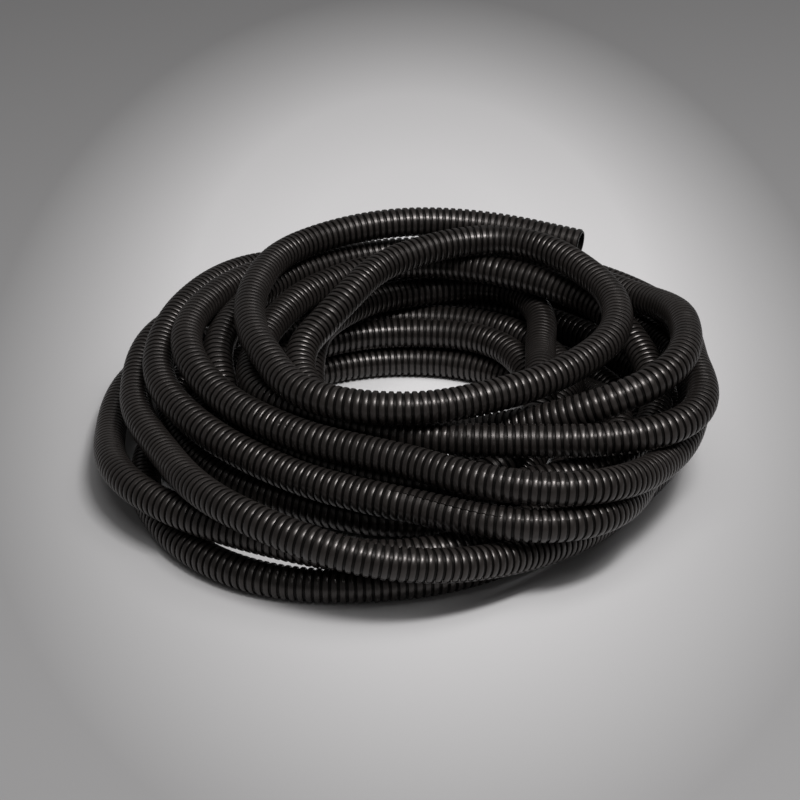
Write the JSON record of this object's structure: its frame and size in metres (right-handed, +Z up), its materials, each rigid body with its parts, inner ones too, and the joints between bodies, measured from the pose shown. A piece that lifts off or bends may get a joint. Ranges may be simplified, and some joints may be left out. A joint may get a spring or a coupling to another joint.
{
  "type": "corrugated conduit",
  "caption": "Loose coil of black corrugated flexible plastic conduit for covering and guiding wires, with two plain cut ends.",
  "frame": {"origin": "middle of the coil on the surface that it lies on", "axes": "+Z up, -Y towards the front of the coil, +X to the right as seen from the front"},
  "size_m": [0.251, 0.2601, 0.0682],
  "materials": {
    "conduit": "semi-matte black polyethylene"
  },
  "bodies": {
    "root": {"conduit": "conduit"}
  },
  "joints": []
}
